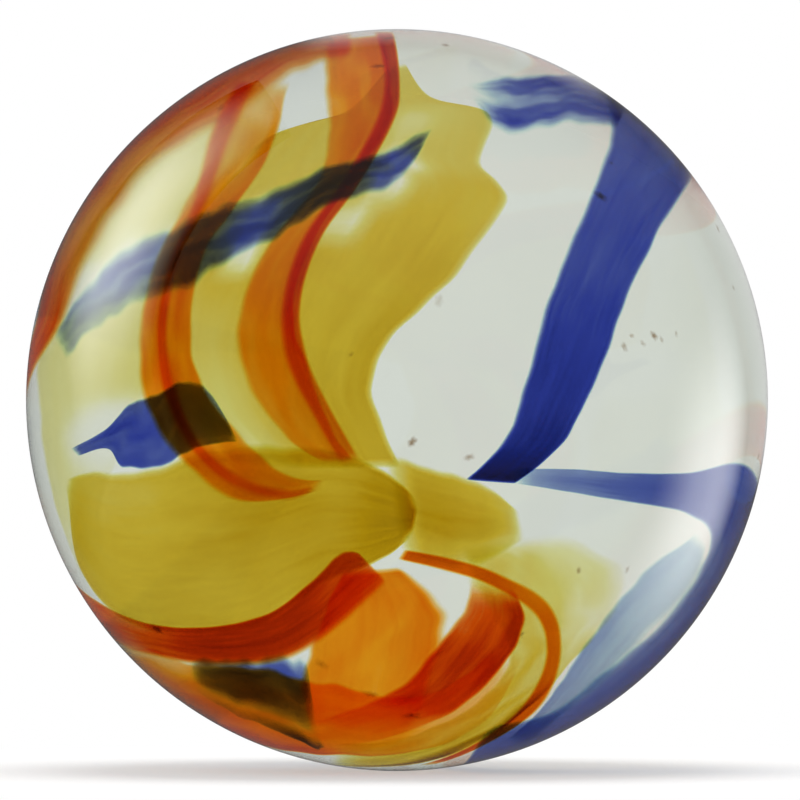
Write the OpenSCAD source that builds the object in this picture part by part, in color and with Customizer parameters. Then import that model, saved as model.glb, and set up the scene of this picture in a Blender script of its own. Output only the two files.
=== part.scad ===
// Glass marble: one ball of clear glass with ribbons of blue, yellow, orange and red glass
// drawn through it just under the surface.
// Units are mm. The middle of the ball is the origin, +Z is up and the front faces -Y.

/* [Ball] */
// Diameter of the ball
ball_d = 16; // [14:0.5:35]

/* [Coloured glass] */
// Thickness of the blue ribbons along their middle
blue_t = 0.34; // [0.16:0.02:0.4]
// Thickness of the yellow sheets along their middle
yellow_t = 0.3; // [0.16:0.02:0.4]
// Thickness of the orange ribbons along their middle
orange_t = 0.28; // [0.16:0.02:0.36]
// Thickness of the red streaks along their middle
red_t = 0.26; // [0.16:0.02:0.34]
// Extra depth of all the coloured glass below the surface
sink = 0; // [0:0.05:0.4]
// Turn of all the coloured glass about the upright line through the middle, in degrees
turn = 0; // [-180:5:180]
// Fineness of the coloured glass: 2 doubles the steps along every ribbon
fineness = 1; // [1:1:2]

/* [Hidden] */
// Names of the sub-parts
// Sub-part to draw

// Radius of the ball
ball_r = ball_d / 2;
// Facets round the ball
ball_facets = 60;
// Strips across a broad ribbon and across a slim one
broad = 3;
slim = 2;
// How strongly light bends where it enters the glass
glass_bend = 1.5;
// Smallest distance from the line of sight that still has a direction
near_axis = 0.001;

// Each ribbon is a list of stations. A station is [u1, v1, u2, v2, depth]: the two edges
// as they are seen from the front, across and up from the middle in shares of the radius,
// and the depth below the surface as a share of the way to the middle of the ball.
// An edge more than 1 from the middle is on the far side, counted back from the rim.

// Broad blue band: over the top from the far side, down the right of the front to a point
blue_band = [
    [-0.93, 0.83, -0.97, 1.08, 0.08], [-0.56, 1.15, -0.16, 1.48, 0.08],
    [-0.04, 1.21, 0.54, 1.22, 0.08], [0.41, 1.01, 0.76, 0.76, 0.08], [0.56, 0.78, 0.79, 0.63, 0.08],
    [0.55, 0.66, 0.73, 0.5, 0.08], [0.47, 0.45, 0.64, 0.34, 0.08], [0.39, 0.26, 0.58, 0.19, 0.08],
    [0.33, 0.03, 0.51, 0.02, 0.09], [0.28, -0.1, 0.44, -0.11, 0.11],
    [0.18, -0.21, 0.31, -0.22, 0.15]];
// Blue wisp that runs left from the top of the broad band
blue_wisp = [
    [0.18, 0.85, 0.19, 0.81, 0.76], [0.28, 0.87, 0.27, 0.71, 0.77], [0.39, 0.88, 0.37, 0.72, 0.78],
    [0.51, 0.86, 0.49, 0.73, 0.79], [0.61, 0.81, 0.59, 0.73, 0.8]];
// Long blue thread deep under the yellow and orange, from top right down to the left rim
blue_thread = [
    [0.1, 0.73, 0.06, 0.65, 0.54], [-0.01, 0.68, 0, 0.57, 0.54], [-0.14, 0.64, -0.12, 0.53, 0.54],
    [-0.27, 0.59, -0.25, 0.47, 0.54], [-0.41, 0.54, -0.37, 0.4, 0.54],
    [-0.53, 0.5, -0.51, 0.32, 0.54], [-0.64, 0.46, -0.64, 0.26, 0.54],
    [-0.76, 0.38, -0.75, 0.22, 0.54], [-0.85, 0.29, -0.82, 0.17, 0.54],
    [-0.92, 0.17, -0.88, 0.1, 0.54]];
// Blue patch at the left that passes behind the orange cord
blue_patch = [
    [-0.87, -0.13, -0.85, -0.15, 0.48], [-0.78, -0.08, -0.77, -0.13, 0.49],
    [-0.71, -0.01, -0.73, -0.18, 0.5], [-0.64, 0.02, -0.64, -0.18, 0.5],
    [-0.57, 0.05, -0.57, -0.15, 0.5], [-0.5, 0.03, -0.5, -0.12, 0.5],
    [-0.43, -0.09, -0.42, -0.11, 0.5]];
// Blue ribbon that runs right from the foot of the broad band and follows the rim down
blue_wrap = [
    [0.29, -0.18, 0.3, -0.22, 0.26], [0.44, -0.18, 0.43, -0.24, 0.22],
    [0.6, -0.19, 0.6, -0.27, 0.17], [0.78, -0.19, 0.76, -0.3, 0.12],
    [0.93, -0.17, 0.83, -0.36, 0.09], [0.97, -0.3, 0.8, -0.46, 0.08],
    [0.91, -0.48, 0.69, -0.6, 0.08], [0.79, -0.65, 0.55, -0.72, 0.08],
    [0.6, -0.82, 0.4, -0.83, 0.08], [0.37, -0.93, 0.23, -0.89, 0.08], [0.11, -1.07, 0.11, -1, 0.08],
    [-0.21, -1.22, -0.26, -1.04, 0.08], [-0.68, -1.18, -0.65, -0.97, 0.08]];
// Pale blue inner fold of the same ribbon
blue_fold = [
    [0.8, -0.35, 0.83, -0.39, 0.4], [0.66, -0.45, 0.8, -0.5, 0.4], [0.55, -0.57, 0.68, -0.63, 0.4],
    [0.46, -0.71, 0.56, -0.75, 0.4], [0.39, -0.81, 0.44, -0.85, 0.4],
    [0.29, -0.91, 0.32, -0.94, 0.42]];
// Deep blue patch under the orange at the lower left
blue_deep = [
    [-0.56, -0.7, -0.55, -0.78, 1], [-0.46, -0.69, -0.45, -0.84, 1], [-0.35, -0.69, -0.32, -0.9, 1],
    [-0.26, -0.69, -0.21, -0.94, 1], [-0.24, -0.69, -0.19, -0.94, 1]];

// Large yellow sheet over the upper middle
yellow_sheet = [
    [-0.02, 0.89, 0.02, 0.9, 0.62], [-0.14, 0.77, 0.09, 0.81, 0.62], [-0.35, 0.7, 0.25, 0.76, 0.62],
    [-0.44, 0.61, 0.23, 0.63, 0.62], [-0.51, 0.52, 0.29, 0.53, 0.62],
    [-0.61, 0.32, 0.16, 0.33, 0.62], [-0.64, 0.15, -0.01, 0.17, 0.62],
    [-0.58, -0.03, -0.06, 0.01, 0.62], [-0.42, -0.18, 0.01, -0.18, 0.62]];
// Yellow lobe close under the surface at the lower left
yellow_lobe = [
    [-0.89, -0.21, -0.87, -0.28, 0.1], [-0.81, -0.19, -0.84, -0.47, 0.1],
    [-0.67, -0.18, -0.71, -0.6, 0.1], [-0.5, -0.13, -0.51, -0.62, 0.1],
    [-0.34, -0.11, -0.35, -0.59, 0.1], [-0.17, -0.13, -0.18, -0.48, 0.1],
    [-0.02, -0.19, -0.04, -0.42, 0.1], [0.06, -0.27, 0.04, -0.36, 0.1]];
// Short yellow tail to the right of the lobe
yellow_tail = [
    [-0.04, -0.14, 0.01, -0.41, 0.34], [0.08, -0.17, 0.11, -0.44, 0.34],
    [0.21, -0.21, 0.22, -0.44, 0.34], [0.32, -0.29, 0.34, -0.37, 0.34]];
// Pale yellow crescent round the orange swirl at the foot
yellow_crescent = [
    [0.16, -0.38, 0.44, -0.35, 0.72], [0.19, -0.5, 0.6, -0.44, 0.72],
    [0.27, -0.6, 0.58, -0.58, 0.72], [0.29, -0.7, 0.46, -0.71, 0.72],
    [0.21, -0.81, 0.34, -0.84, 0.72], [0.04, -0.89, 0.12, -0.96, 0.72],
    [-0.18, -0.92, -0.18, -0.98, 0.72]];
// Pale yellow flank along the left, from the far side down to the lobe
yellow_flank = [
    [-0.43, 0.79, -0.28, 0.72, 0.76], [-0.65, 0.67, -0.43, 0.61, 0.76],
    [-0.81, 0.5, -0.55, 0.45, 0.76], [-0.92, 0.3, -0.61, 0.27, 0.76], [-0.97, 0.1, -0.62, 0.1, 0.76],
    [-0.96, -0.08, -0.69, -0.06, 0.76], [-0.92, -0.28, -0.78, -0.27, 0.76],
    [-0.84, -0.49, -0.77, -0.46, 0.76]];
// Yellow sheet of the far side
yellow_far = [
    [1.03, -0.07, 0.99, -0.36, 0.24], [1.13, -0.2, 0.91, -0.62, 0.24],
    [1.2, -0.58, 0.68, -0.94, 0.24], [0.81, -1.21, 0.33, -1.15, 0.24],
    [0, -1.48, -0.09, -1.22, 0.24], [-0.81, -1.21, -0.5, -1.12, 0.24],
    [-1.15, -0.67, -0.81, -0.84, 0.24], [-1.1, -0.27, -0.97, -0.52, 0.24]];

// Orange sash from the top rim round to the middle, left of the red line
orange_sash = [
    [-0.2, 0.96, -0.04, 0.98, 0.44], [-0.2, 0.86, -0.01, 0.87, 0.44],
    [-0.19, 0.73, -0.02, 0.73, 0.44], [-0.22, 0.57, -0.11, 0.59, 0.44],
    [-0.36, 0.39, -0.23, 0.4, 0.44], [-0.43, 0.21, -0.27, 0.22, 0.44],
    [-0.4, 0.04, -0.22, 0.05, 0.44], [-0.3, -0.1, -0.15, -0.11, 0.44],
    [-0.19, -0.17, -0.11, -0.16, 0.44]];
// Orange cord down the left, hooked to the right at its foot
orange_cord = [
    [-0.43, 0.85, -0.28, 0.85, 0.26], [-0.47, 0.7, -0.32, 0.68, 0.26],
    [-0.56, 0.54, -0.41, 0.53, 0.26], [-0.65, 0.35, -0.51, 0.37, 0.26],
    [-0.69, 0.16, -0.54, 0.17, 0.26], [-0.67, -0.01, -0.49, 0.01, 0.26],
    [-0.57, -0.17, -0.38, -0.12, 0.26], [-0.42, -0.27, -0.27, -0.2, 0.26],
    [-0.2, -0.24, -0.19, -0.21, 0.26]];
// Orange lobe in the middle of the lower swirl
orange_lobe = [
    [-0.14, -0.45, 0.01, -0.44, 0.4], [-0.21, -0.59, 0.12, -0.53, 0.4],
    [-0.25, -0.71, 0.13, -0.65, 0.4], [-0.25, -0.83, 0.09, -0.79, 0.4],
    [-0.21, -0.93, 0, -0.93, 0.4]];
// Thin orange rind round the lower swirl
orange_rind = [
    [0, -0.42, 0.02, -0.39, 0.18], [0.12, -0.45, 0.13, -0.41, 0.18],
    [0.24, -0.49, 0.26, -0.45, 0.18], [0.36, -0.57, 0.4, -0.53, 0.18],
    [0.39, -0.68, 0.44, -0.66, 0.18], [0.33, -0.81, 0.39, -0.81, 0.18],
    [0.2, -0.92, 0.24, -0.92, 0.18], [0.05, -0.98, 0.09, -0.98, 0.18]];
// Orange band along the foot of the ball
orange_foot = [
    [-0.96, -0.64, -0.8, -0.78, 0.3], [-0.82, -0.64, -0.68, -0.76, 0.44],
    [-0.68, -0.66, -0.68, -0.74, 0.56], [-0.54, -0.7, -0.53, -0.85, 0.56],
    [-0.36, -0.71, -0.36, -0.93, 0.56], [-0.18, -0.75, -0.18, -0.95, 0.56],
    [0, -0.79, 0.02, -0.95, 0.56], [0.16, -0.74, 0.22, -0.87, 0.56],
    [0.27, -0.65, 0.34, -0.68, 0.56]];
// Orange ribbon of the far side
orange_far = [
    [-0.87, 0.63, -0.94, 0.48, 0.16], [-1.06, 0.61, -1.05, 0.45, 0.16],
    [-1.34, 0.39, -1.23, 0.31, 0.16], [-1.47, -0.21, -1.32, -0.14, 0.16],
    [-1.22, -0.76, -1.14, -0.61, 0.16], [-0.8, -0.99, -0.87, -0.81, 0.16],
    [-0.55, -0.95, -0.68, -0.84, 0.16]];

// Red line along the right edge of the orange sash
red_line = [
    [-0.07, 0.99, -0.01, 0.99, 0.34], [-0.04, 0.87, 0.01, 0.87, 0.34], [-0.06, 0.75, 0, 0.75, 0.34],
    [-0.15, 0.58, -0.09, 0.58, 0.34], [-0.26, 0.42, -0.2, 0.42, 0.34],
    [-0.31, 0.25, -0.25, 0.25, 0.34], [-0.3, 0.1, -0.23, 0.11, 0.34],
    [-0.22, -0.06, -0.16, -0.04, 0.34], [-0.15, -0.18, -0.09, -0.16, 0.34]];
// Red core in front of the orange cord
red_core = [
    [-0.43, 0.86, -0.36, 0.84, 0.18], [-0.5, 0.72, -0.42, 0.69, 0.18],
    [-0.55, 0.52, -0.5, 0.5, 0.18], [-0.61, 0.36, -0.57, 0.35, 0.18],
    [-0.64, 0.18, -0.6, 0.18, 0.18], [-0.62, 0.01, -0.57, 0.02, 0.18],
    [-0.55, -0.13, -0.51, -0.11, 0.18], [-0.44, -0.23, -0.41, -0.19, 0.18],
    [-0.3, -0.27, -0.29, -0.23, 0.18], [-0.21, -0.24, -0.22, -0.22, 0.18]];
// Brick red rind along the upper left rim
red_rind = [
    [-1.19, -0.25, -1.07, -0.39, 0.3], [-1.05, 0, -1, -0.07, 0.34], [-0.97, 0.21, -0.9, 0.18, 0.36],
    [-0.91, 0.44, -0.78, 0.42, 0.36], [-0.78, 0.65, -0.67, 0.58, 0.36],
    [-0.59, 0.81, -0.49, 0.7, 0.36], [-0.4, 0.93, -0.34, 0.8, 0.36],
    [-0.25, 0.98, -0.23, 0.88, 0.36], [-0.12, 0.99, -0.11, 0.91, 0.36]];
// Deep red sash under the yellow lobe
red_sash = [
    [-1, -0.49, -0.87, -0.63, 0.2], [-0.93, -0.43, -0.84, -0.57, 0.2],
    [-0.83, -0.52, -0.8, -0.62, 0.2], [-0.67, -0.59, -0.68, -0.68, 0.2],
    [-0.5, -0.6, -0.5, -0.71, 0.2], [-0.34, -0.56, -0.32, -0.7, 0.2],
    [-0.22, -0.47, -0.18, -0.63, 0.2], [-0.15, -0.4, -0.08, -0.54, 0.2],
    [-0.1, -0.4, -0.02, -0.48, 0.2]];
// Deep red sweep through the lower swirl
red_sweep = [
    [0.19, -0.47, 0.31, -0.49, 0.3], [0.17, -0.56, 0.34, -0.58, 0.3], [0.09, -0.66, 0.29, -0.7, 0.3],
    [0, -0.76, 0.18, -0.81, 0.3], [-0.13, -0.82, 0.02, -0.89, 0.3],
    [-0.27, -0.86, -0.21, -0.93, 0.3]];
// Red ribbon of the far side
red_far = [
    [1.01, 0.37, 1.09, 0.23, 0.12], [1.03, 0.6, 1.19, 0.34, 0.12], [1.16, 0.73, 1.34, 0.24, 0.12],
    [1.47, 0.21, 1.35, -0.14, 0.12], [1.34, -0.6, 1.23, -0.5, 0.12],
    [0.92, -0.96, 0.98, -0.77, 0.12]];

// Point of the unit ball's surface seen at u, v
function on_ball(u, v) =
    let (seen = norm([u, v]), share = seen > 1 ? 2 - seen : seen, rise = sqrt(1 - share * share))
    [u * share / seen, seen > 1 ? rise : -rise, v * share / seen];

// Share of the bend at a surface point: it grows to the rim and then holds
function bend_share(e) = (e.y < 0 ? norm([e.x, e.z]) : 1) / glass_bend;

// Way that light from the front takes inside the glass from surface point e
function way_in(e) =
    let (k = bend_share(e), side = max(norm([e.x, e.z]), near_axis))
    k / side * ([0, 1, 0] - e.y * e) - sqrt(1 - k * k) * e;

// Point below surface point e at a share of the way to the middle, moved on by a distance in mm
function inside(e, depth, shift) =
    let (k = bend_share(e), reach = ball_r * sqrt(1 - k * k) * depth + sink)
    ball_r * e + (reach + shift) * way_in(e);

// Smooth curve through the points p, at a share t of the way from point i to the next
function curve(p, i, t) =
    let (last = len(p) - 1, a = p[max(i - 1, 0)], b = p[i])
    let (c = p[min(i + 1, last)], d = p[min(i + 2, last)])
    b + t / 2 * ((c - a) + t * ((2 * a - 5 * b + 4 * c - d) + t * (3 * b - a - 3 * c + d)));

// Curve value at a share of the whole run
function run(p, share) =
    let (along = share * (len(p) - 1), i = min(floor(along), len(p) - 2))
    curve(p, i, along - i);

// Closed sheet through a list of stations, thickest in the middle and thin at every edge,
// in rows of cells along it and strips of cells across it
module ribbon(stations, thick, rows, strips) {
    steps = rows * fineness;
    first = [for (s = stations) on_ball(s[0], s[1])];
    second = [for (s = stations) on_ball(s[2], s[3])];
    deep = [for (s = stations) s[4]];

    function place(i, j) =
        let (w = j / strips, e = (1 - w) * run(first, i / steps) + w * run(second, i / steps))
        e / norm(e);
    function swell(i, j) =
        let (w = j / strips)
        2 * w * (1 - w) * sqrt(max(sin(180 * i / steps), 0)) * thick;
    function is_rim(i, j) = i == 0 || i == steps || j == 0 || j == strips;
    function front(i, j) = i * (strips + 1) + j;
    function rear(i, j) = is_rim(i, j) ? front(i, j)
        : (steps + 1) * (strips + 1) + (i - 1) * (strips - 1) + j - 1;

    // Each cell is cut from the corner that its halves share with the inside of the sheet
    function leans(i, j) = (2 * i < steps) == (2 * j < strips);
    function halves(a, b, c, d, lean) = lean ? [[a, b, c], [a, c, d]] : [[a, b, d], [b, c, d]];

    front_points = [for (i = [0:steps], j = [0:strips])
        inside(place(i, j), run(deep, i / steps), is_rim(i, j) ? 0 : -swell(i, j))];
    rear_points = [for (i = [1:steps - 1], j = [1:strips - 1])
        inside(place(i, j), run(deep, i / steps), swell(i, j))];

    mid = floor(steps / 2);
    facing = cross(place(mid + 1, 0) - place(mid, 0), place(mid, strips) - place(mid, 0)) * place(mid, 0);
    front_faces = [for (i = [0:steps - 1], j = [0:strips - 1])
        each halves(front(i, j), front(i + 1, j), front(i + 1, j + 1), front(i, j + 1), leans(i, j))];
    rear_faces = [for (i = [0:steps - 1], j = [0:strips - 1])
        each halves(rear(i, j + 1), rear(i + 1, j + 1), rear(i + 1, j), rear(i, j), !leans(i, j))];
    faces = concat(front_faces, rear_faces);
    turned = facing > 0 ? [for (f = faces) [f[0], f[2], f[1]]] : faces;
    rotate([0, 0, turn])
        polyhedron(points = concat(front_points, rear_points), faces = turned, convexity = 6);
}

// Every blue ribbon
module blue_swirl() {
    color([0.16, 0.22, 0.55]) {
        ribbon(blue_band, blue_t, 13, broad);
        ribbon(blue_wisp, blue_t, 5, slim);
        ribbon(blue_thread, blue_t, 10, slim);
        ribbon(blue_patch, blue_t, 6, broad);
        ribbon(blue_wrap, blue_t, 15, broad);
        ribbon(blue_fold, blue_t, 7, slim);
        ribbon(blue_deep, blue_t, 5, slim);
    }
}

// Every yellow sheet
module yellow_swirl() {
    color([0.72, 0.6, 0.14]) {
        ribbon(yellow_sheet, yellow_t, 9, broad);
        ribbon(yellow_lobe, yellow_t, 9, broad);
        ribbon(yellow_tail, yellow_t, 4, slim);
        ribbon(yellow_crescent, yellow_t, 8, slim);
        ribbon(yellow_flank, yellow_t, 7, broad);
        ribbon(yellow_far, yellow_t, 7, broad);
    }
}

// Every orange ribbon
module orange_swirl() {
    color([0.8, 0.42, 0.04]) {
        ribbon(orange_sash, orange_t, 11, slim);
        ribbon(orange_cord, orange_t, 11, slim);
        ribbon(orange_lobe, orange_t, 6, broad);
        ribbon(orange_rind, orange_t, 10, slim);
        ribbon(orange_foot, orange_t, 9, slim);
        ribbon(orange_far, orange_t, 9, slim);
    }
}

// Every red streak
module red_swirl() {
    color([0.62, 0.1, 0.02]) {
        ribbon(red_line, red_t, 10, slim);
        ribbon(red_core, red_t, 9, slim);
        ribbon(red_rind, red_t, 10, slim);
        ribbon(red_sash, red_t, 10, slim);
        ribbon(red_sweep, red_t, 7, slim);
        ribbon(red_far, red_t, 7, slim);
    }
}

// Clear glass of the ball, with room for the coloured glass
module clear_glass() {
    color([0.8, 0.84, 0.78, 0.35])
    difference() {
        sphere(d = ball_d, $fn = ball_facets);
        blue_swirl();
        yellow_swirl();
        orange_swirl();
        red_swirl();
    }
}

clear_glass();
blue_swirl();
yellow_swirl();
orange_swirl();
red_swirl();
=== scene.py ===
# Glass marble: a ball of clear glass with coloured glass ribbons swirled through it.
# The front faces -Y. Everything is in metres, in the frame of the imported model.
import bpy
import numpy as np
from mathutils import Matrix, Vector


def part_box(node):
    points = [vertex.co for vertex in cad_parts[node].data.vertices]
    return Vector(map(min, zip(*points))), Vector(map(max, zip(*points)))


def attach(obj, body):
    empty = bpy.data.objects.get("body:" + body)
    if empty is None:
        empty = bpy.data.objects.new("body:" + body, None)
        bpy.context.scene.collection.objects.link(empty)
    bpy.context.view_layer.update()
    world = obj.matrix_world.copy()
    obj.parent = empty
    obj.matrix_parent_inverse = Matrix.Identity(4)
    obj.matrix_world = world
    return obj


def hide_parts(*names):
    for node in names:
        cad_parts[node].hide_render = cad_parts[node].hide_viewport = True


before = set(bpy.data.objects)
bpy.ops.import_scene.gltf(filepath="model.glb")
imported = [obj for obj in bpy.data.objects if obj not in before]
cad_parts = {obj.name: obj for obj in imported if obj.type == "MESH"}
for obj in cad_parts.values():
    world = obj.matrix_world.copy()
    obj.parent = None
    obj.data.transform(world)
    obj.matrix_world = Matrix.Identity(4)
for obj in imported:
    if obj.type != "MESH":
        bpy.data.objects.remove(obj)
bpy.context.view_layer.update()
ballRadius = round(float(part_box("clear_glass")[1][2]), 6)
glassBend = 1.5  # how strongly light bends where it enters the glass
noiseSpan = (0.3, 0.7)  # most of what a noise texture gives lies between these
print("frame loaded")


# Empty node material and its tree
def newMaterial(name):
    material = bpy.data.materials.new(name)
    material.use_nodes = True
    material.node_tree.nodes.clear()
    return material, material.node_tree


# Node with its settings, each input linked to a socket or set to a value
def addNode(tree, kind, inputs=None, **settings):
    node = tree.nodes.new(kind)
    for key, value in settings.items():
        setattr(node, key, value)
    for key, value in (inputs or {}).items():
        if isinstance(value, bpy.types.NodeSocket):
            tree.links.new(value, node.inputs[key])
        else:
            node.inputs[key].default_value = value
    return node


# Result of one sum on two values
def mathNode(tree, operation, first, second=0.0, clamped=False):
    node = addNode(tree, "ShaderNodeMath", {0: first, 1: second}, operation=operation, use_clamp=clamped)
    return node.outputs[0]


# Result of one sum on two vectors
def vectorNode(tree, operation, first, second=(0, 0, 0), result="Vector"):
    node = addNode(tree, "ShaderNodeVectorMath", {0: first, 1: second}, operation=operation)
    return node.outputs[result]


# A value carried from one range to another
def mapRange(tree, value, old, new, shape="LINEAR"):
    inputs = {"Value": value, "From Min": old[0], "From Max": old[1], "To Min": new[0], "To Max": new[1]}
    return addNode(tree, "ShaderNodeMapRange", inputs, interpolation_type=shape).outputs["Result"]


# Ramp of tints from thin to thick glass: each stands at half its colour share, so that 2 is the end
def tintRamp(tree, amount, tints):
    ramp = addNode(tree, "ShaderNodeValToRGB", {"Fac": amount})
    elements = ramp.color_ramp.elements
    while len(elements) < len(tints):
        elements.new(0.5)
    for element, (share, tint) in zip(elements, tints):
        element.position = share / 2
        element.color = (*tint, 1.0)
    return ramp.outputs["Color"]


# Glass that only filters light: with no bend of its own it is colour inside the ball's glass
def filterGlass(tree, colour):
    glass = addNode(tree, "ShaderNodeBsdfPrincipled", {"Base Color": colour, "Roughness": 0.0,
                                                       "IOR": 1.0, "Transmission Weight": 1.0})
    addNode(tree, "ShaderNodeOutputMaterial", {"Surface": glass.outputs["BSDF"]})


# Coloured glass: the ribbon's own colour share, broken up by streaks drawn out along the ribbon
# and by soft clouds, picks the tint
def colouredGlass(name, finish):
    material, tree = newMaterial(name)
    amount = addNode(tree, "ShaderNodeAttribute", attribute_name="colourShare").outputs["Fac"]
    along = addNode(tree, "ShaderNodeUVMap", uv_map="along").outputs["UV"]
    where = addNode(tree, "ShaderNodeTexCoord").outputs["Object"]
    layers = []
    for fineness, strength in finish["streaks"]:
        drawnOut = addNode(tree, "ShaderNodeMapping", {
            "Vector": along, "Scale": (fineness * finish["stretch"], fineness, 1.0)})
        streak = addNode(tree, "ShaderNodeTexNoise", {
            "Vector": drawnOut.outputs["Vector"], "Scale": 1.0, "Detail": 2.0, "Roughness": 0.6,
            "Distortion": 0.4})
        layers.append((streak, strength))
    cloudScale, cloudStrength = finish["clouds"]
    cloud = addNode(tree, "ShaderNodeTexNoise", {"Vector": where, "Scale": cloudScale, "Detail": 2.0})
    layers.append((cloud, cloudStrength))
    for noise, strength in layers:
        share = mapRange(tree, noise.outputs["Fac"], noiseSpan, (1 - strength, 1 + strength))
        amount = mathNode(tree, "MULTIPLY", amount, share)
    half = mathNode(tree, "MULTIPLY", amount, 0.5, clamped=True)
    filterGlass(tree, tintRamp(tree, half, finish["tints"]))
    return material


# Grime in a pit: brown where it is thick, gone at the rim, broken up by fine specks
def grimeGlass(name, finish):
    material, tree = newMaterial(name)
    share = addNode(tree, "ShaderNodeAttribute", attribute_name="colourShare").outputs["Fac"]
    where = addNode(tree, "ShaderNodeTexCoord").outputs["Object"]
    speck = addNode(tree, "ShaderNodeTexNoise", {"Vector": where, "Scale": finish["speckScale"],
                                                 "Detail": 2.0})
    amount = mathNode(tree, "MULTIPLY", share, speck.outputs["Fac"], clamped=True)
    filterGlass(tree, tintRamp(tree, amount, finish["grime"]))
    return material


# Finished piece: its mesh with its material, riding on the body and standing for its node
def addPiece(mesh, material, node):
    piece = bpy.data.objects.new(mesh.name, mesh)
    bpy.context.scene.collection.objects.link(piece)
    mesh.materials.append(material)
    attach(piece, "root")
    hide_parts(node)


# Point of the unit ball seen at u, v: u across, v up and the root of 1 - u^2 - v^2 to the front. One
# more than 1 from the middle is on the far side, counted back from the rim.
def onBall(u, v):
    seen = np.maximum(np.hypot(u, v), 1e-6)
    share = np.where(seen > 1, 2 - seen, seen)
    rise = np.sqrt(np.maximum(1 - share**2, 0))
    return np.stack([u * share / seen, np.where(seen > 1, rise, -rise), v * share / seen], -1)


# Way a sight line takes inside the glass from surface point e, turned towards the middle: the sine of
# its angle to the surface's normal is the sine outside, divided by glassBend. That sine is the point's
# distance from the middle as it is seen, and 1 on the far side. The second result is the cosine.
def wayIn(e):
    side = np.maximum(np.hypot(e[..., 0], e[..., 2]), 1e-3)
    bend = np.where(e[..., 1] < 0, side, 1) / glassBend
    straight = np.sqrt(1 - bend**2)
    towards = np.array([0, 1.0, 0]) - e[..., 1:2] * e
    return (bend / side)[..., None] * towards - straight[..., None] * e, straight


# Smooth curve through the rows of points, at positions counted in stations: cubic pieces, whose slope
# at each point is half the step from the point before it to the point after it
def curveThrough(points, position):
    last = len(points) - 1
    i = np.minimum(np.floor(position).astype(int), last - 1)
    t = (position - i)[:, None]
    a, b, c, d = (points[np.clip(i + k, 0, last)] for k in (-1, 0, 1, 2))
    return b + t / 2 * ((c - a) + t * ((2 * a - 5 * b + 4 * c - d) + t * (3 * b - a - 3 * c + d)))


# Share from 0 to 1 that starts and ends gently: 3 s^2 - 2 s^3
def gently(share):
    share = np.clip(share, 0, 1)
    return share * share * (3 - 2 * share)


# Values given at even steps along and across a ribbon, spread gently over all its points
def spreadOut(table, along, across):
    rows = np.array(table, float).reshape(len(table), -1)
    low, high, part = [], [], []
    for share, last in ((along, rows.shape[0] - 1), (across, rows.shape[1] - 1)):
        start = np.clip(np.floor(share * last).astype(int), 0, max(last - 1, 0))
        low.append(start)
        high.append(np.minimum(start + 1, last))
        part.append(gently(share * last - start))
    down, side = part[0][:, None], part[1]
    upper = (1 - side) * rows[np.ix_(low[0], low[1])] + side * rows[np.ix_(low[0], high[1])]
    lower = (1 - side) * rows[np.ix_(high[0], low[1])] + side * rows[np.ix_(high[0], high[1])]
    return (1 - down) * upper + down * lower


# Sway of a ribbon's two edges along it: wobble * the sum of height * sin(pace * position + lag * phase)
# over three waves for each edge, given here as height, pace and lag
edgeWaves = [[(1, 2.9, 1), (0.6, 6.7, 2), (0.4, 13.1, 1)],
             [(1, 3.3, 4), (0.6, 7.9, 1), (0.4, 11.3, 3)]]


def edgeSway(position, wobble, phase):
    sways = (sum(height * np.sin(pace * position + lag * phase) for height, pace, lag in waves)
             for waves in edgeWaves)
    return [wobble * sway[:, None] for sway in sways]


# Colour share of every point: the given values, faded in from the sides and the ends, less by
# strength * (1/2 + sin(2 pi * stripes * w + sway) / 2)^2 in swaying stripes, and less by exp(-d^4) in
# thin spots, where d is the distance counted in reaches
def colourShares(ribbon, position, w):
    gaps = len(ribbon["stations"]) - 1
    place = position / gaps
    softFirst, softSecond = ribbon["soft"]
    softStart, softEnd = ribbon["endSoft"]
    sides = gently(np.clip(w / softFirst, 0, 1) * np.clip((1 - w) / softSecond, 0, 1))
    ends = gently(np.clip(position / softStart, 0, 1) * np.clip((gaps - position) / softEnd, 0, 1))
    shares = spreadOut(ribbon["colour"], place, w) * ends[:, None] * sides
    strength, stripes = ribbon.get("frayed", (0, 1))
    sway = 1.6 * np.sin(1.9 * position + ribbon["phase"])[:, None] + np.sin(5.3 * position[:, None] + 9 * w)
    shares *= 1 - strength * (0.5 + 0.5 * np.sin(2 * np.pi * stripes * w + sway))**2
    for placeAlong, reachAlong, placeAcross, reachAcross, left in ribbon.get("thin", ()):
        away = ((place - placeAlong) / reachAlong)[:, None]**2 + ((w - placeAcross) / reachAcross)**2
        shares *= 1 - (1 - left) * np.exp(-away**2)
    return shares


# Four-sided cells of a grid of point numbers
def gridCells(grid):
    return np.stack([grid[:-1, :-1], grid[1:, :-1], grid[1:, 1:], grid[:-1, 1:]], -1).reshape(-1, 4)


# Faces of a closed sheet: its front and rear grids share the points of every edge
def sheetFaces(rows, columns, frontLeads):
    front = np.arange(rows * columns).reshape(rows, columns)
    rear = front.copy()
    rear[1:-1, 1:-1] = front.size + np.arange((rows - 2) * (columns - 2)).reshape(rows - 2, columns - 2)
    if frontLeads:
        return np.concatenate([gridCells(front), gridCells(rear)[:, ::-1]])
    return np.concatenate([gridCells(front)[:, ::-1], gridCells(rear)])


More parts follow.
